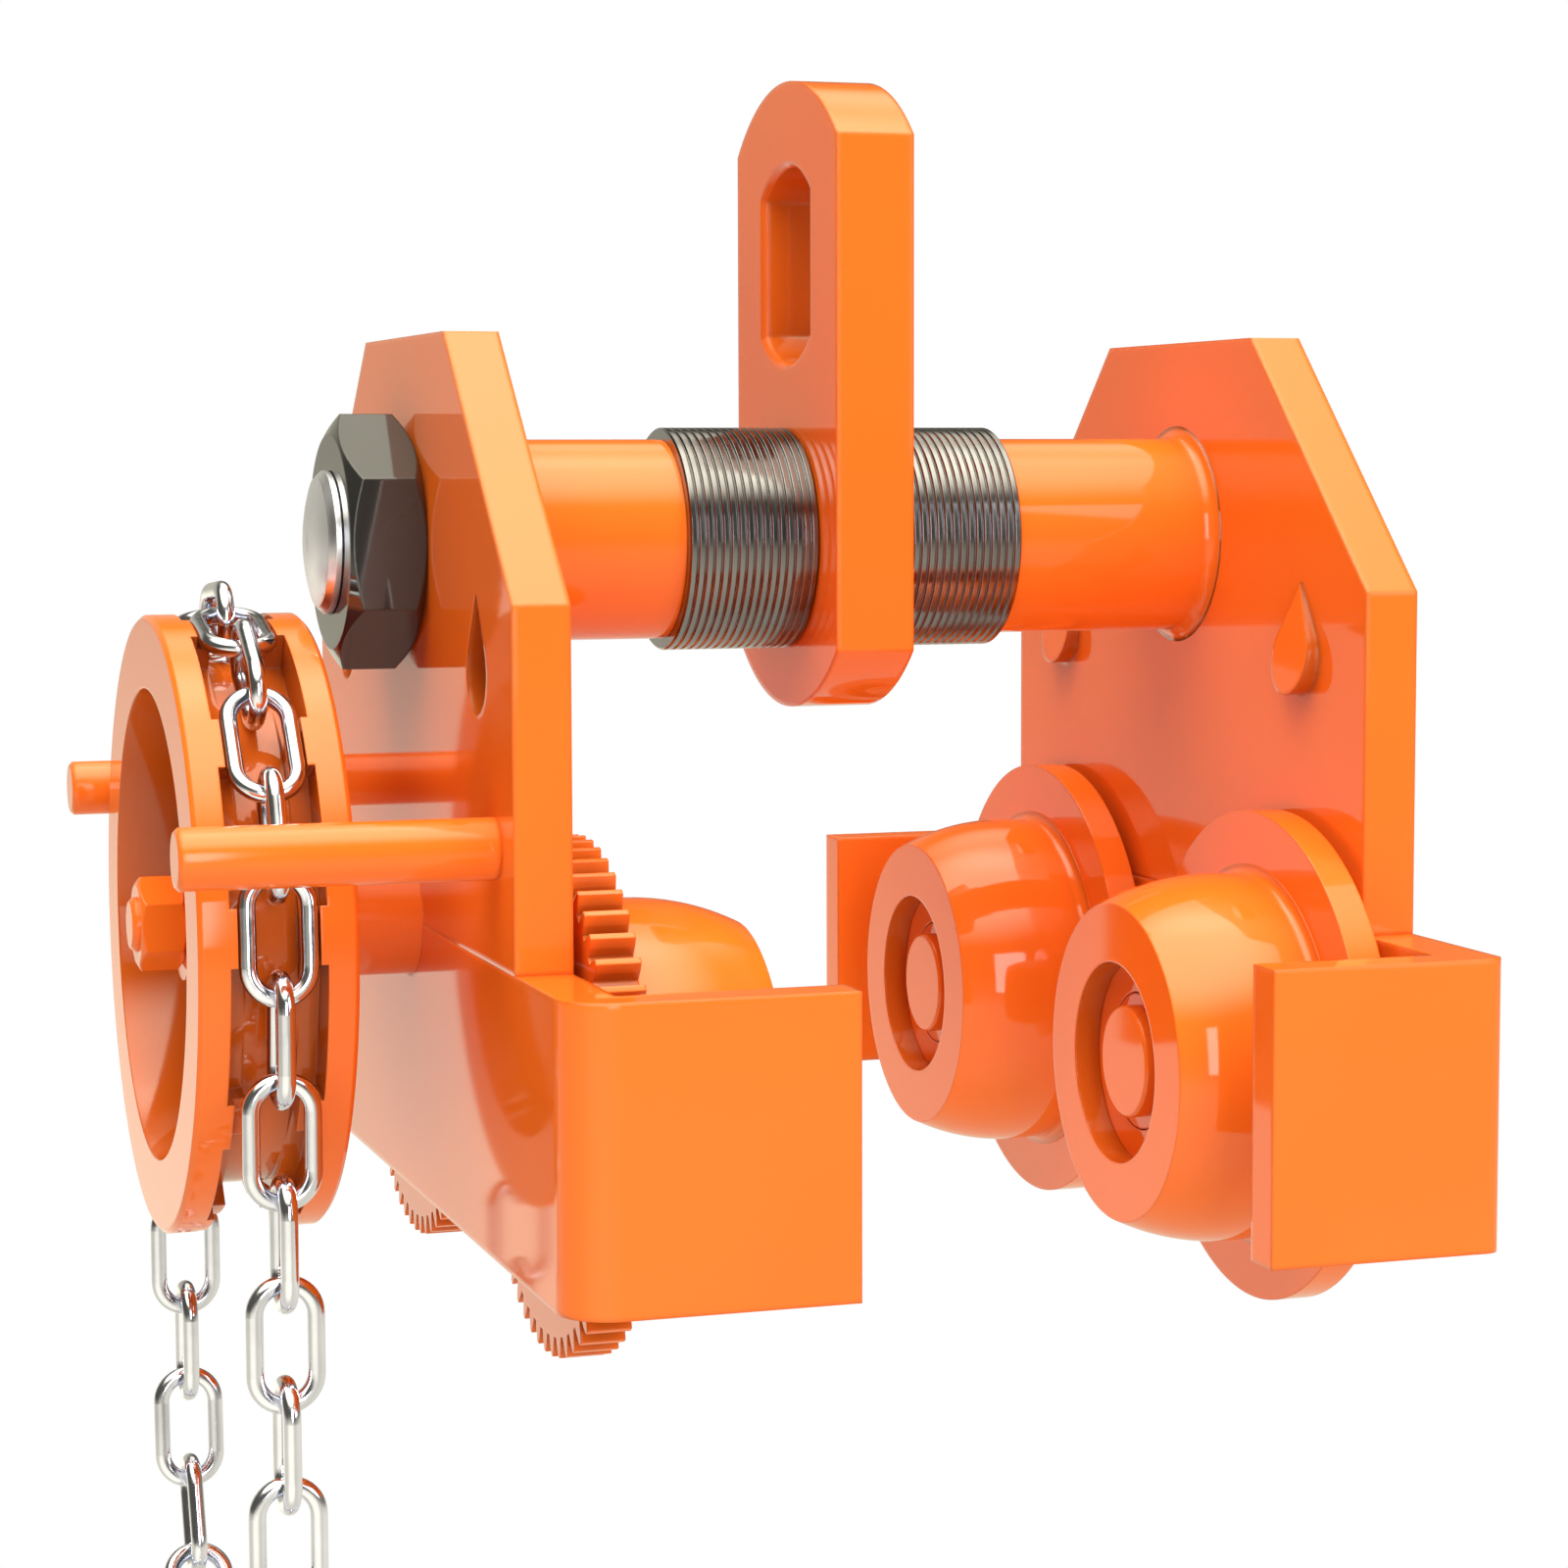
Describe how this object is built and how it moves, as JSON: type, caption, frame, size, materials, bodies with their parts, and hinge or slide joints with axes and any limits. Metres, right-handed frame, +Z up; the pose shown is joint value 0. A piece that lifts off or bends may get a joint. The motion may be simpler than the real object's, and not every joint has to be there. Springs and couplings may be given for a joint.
{
  "type": "geared beam trolley",
  "caption": "Geared beam trolley with flanged wheels on two side plates, joined by a shaft with spacer washers and a load eye, driven by a chain wheel with a hand chain.",
  "frame": {"origin": "middle of the load eye's opening", "axes": "+X from the chain wheel side to the plain side, +Y along the beam, +Z up as pictured"},
  "size_m": [0.3949, 0.371, 0.5157],
  "materials": {
    "orange_paint": "glossy orange enamel",
    "washer_steel": "bare grey washer steel",
    "blackened_steel": "blackened steel with a satin sheen",
    "bright_steel": "bright turned steel",
    "zinc_chain": "bright zinc plated wire",
    "bronze": "plain bearing bronze",
    "machined_steel": "machined steel"
  },
  "bodies": {
    "load_eye": {"eye_plate": "orange_paint"},
    "trolley_frame": {"left_side_plate": "orange_paint", "right_side_plate": "orange_paint", "left_bumper_bracket": "orange_paint", "right_bumper_bracket": "orange_paint", "suspension_shaft": "bright_steel", "left_spacer_tube": "orange_paint", "right_spacer_tube": "orange_paint", "left_washer_stack": "washer_steel", "right_washer_stack": "washer_steel", "left_shaft_nut": "blackened_steel", "right_shaft_nut": "blackened_steel", "front_guide_rod": "orange_paint", "rear_guide_rod": "orange_paint", "drive_bearing_housing": "orange_paint", "drive_bush": "bronze", "hand_chain": "zinc_chain", "front_gear_wheel_inner_races": "orange_paint", "front_gear_wheel_race_spacer": "machined_steel", "front_gear_wheel_axle": "orange_paint", "front_gear_wheel_end_cap": "orange_paint", "rear_gear_wheel_inner_races": "orange_paint", "rear_gear_wheel_race_spacer": "machined_steel", "rear_gear_wheel_axle": "orange_paint", "rear_gear_wheel_end_cap": "orange_paint", "front_plain_wheel_inner_races": "orange_paint", "front_plain_wheel_race_spacer": "machined_steel", "front_plain_wheel_axle": "orange_paint", "front_plain_wheel_end_cap": "orange_paint", "rear_plain_wheel_inner_races": "orange_paint", "rear_plain_wheel_race_spacer": "machined_steel", "rear_plain_wheel_axle": "orange_paint", "rear_plain_wheel_end_cap": "orange_paint"},
    "chain_drive": {"chain_wheel": "orange_paint", "drive_shaft": "orange_paint", "drive_pinion": "orange_paint", "chain_wheel_key": "machined_steel", "pinion_key": "machined_steel", "drive_washer": "orange_paint", "drive_nut": "orange_paint", "outer_thrust_ring": "bronze", "inner_thrust_ring": "bronze", "pinion_circlip": "machined_steel"},
    "front_gear_wheel_set": {"front_gear_wheel": "orange_paint", "front_gear_wheel_ring": "orange_paint", "front_gear_wheel_outer_races": "orange_paint", "front_gear_wheel_circlip": "machined_steel"},
    "rear_gear_wheel_set": {"rear_gear_wheel": "orange_paint", "rear_gear_wheel_ring": "orange_paint", "rear_gear_wheel_outer_races": "orange_paint", "rear_gear_wheel_circlip": "machined_steel"},
    "front_plain_wheel_set": {"front_plain_wheel": "orange_paint", "front_plain_wheel_ring": "orange_paint", "front_plain_wheel_outer_races": "orange_paint", "front_plain_wheel_circlip": "machined_steel"},
    "rear_plain_wheel_set": {"rear_plain_wheel": "orange_paint", "rear_plain_wheel_ring": "orange_paint", "rear_plain_wheel_outer_races": "orange_paint", "rear_plain_wheel_circlip": "machined_steel"}
  },
  "joints": [
    {"name": "eye_swing", "type": "hinge", "parent": "load_eye", "child": "trolley_frame", "pos_m": [0, 0, -0.0825], "axis": [1, 0, 0], "range_deg": [-75, 75]},
    {"name": "front_gear_wheel_spin", "type": "hinge", "parent": "trolley_frame", "child": "front_gear_wheel_set", "pos_m": [-0.0855, -0.08521, -0.235], "axis": [1, 0, 0], "continuous": true},
    {"name": "rear_gear_wheel_spin", "type": "hinge", "parent": "trolley_frame", "child": "rear_gear_wheel_set", "pos_m": [-0.0855, 0.08521, -0.235], "axis": [1, 0, 0], "continuous": true},
    {"name": "chain_wheel_spin", "type": "hinge", "parent": "trolley_frame", "child": "chain_drive", "pos_m": [-0.1855, 0, -0.193], "axis": [1, 0, 0], "continuous": true, "deforming": ["hand_chain"]},
    {"name": "front_plain_wheel_spin", "type": "hinge", "parent": "trolley_frame", "child": "front_plain_wheel_set", "pos_m": [0.0879, -0.08521, -0.235], "axis": [1, 0, 0], "continuous": true},
    {"name": "rear_plain_wheel_spin", "type": "hinge", "parent": "trolley_frame", "child": "rear_plain_wheel_set", "pos_m": [0.0879, 0.08521, -0.235], "axis": [1, 0, 0], "continuous": true}
  ],
  "couplings": [
    {"joint": "rear_gear_wheel_spin", "follows": "front_gear_wheel_spin", "ratio": 1},
    {"joint": "chain_wheel_spin", "follows": "front_gear_wheel_spin", "ratio": -2.8}
  ]
}
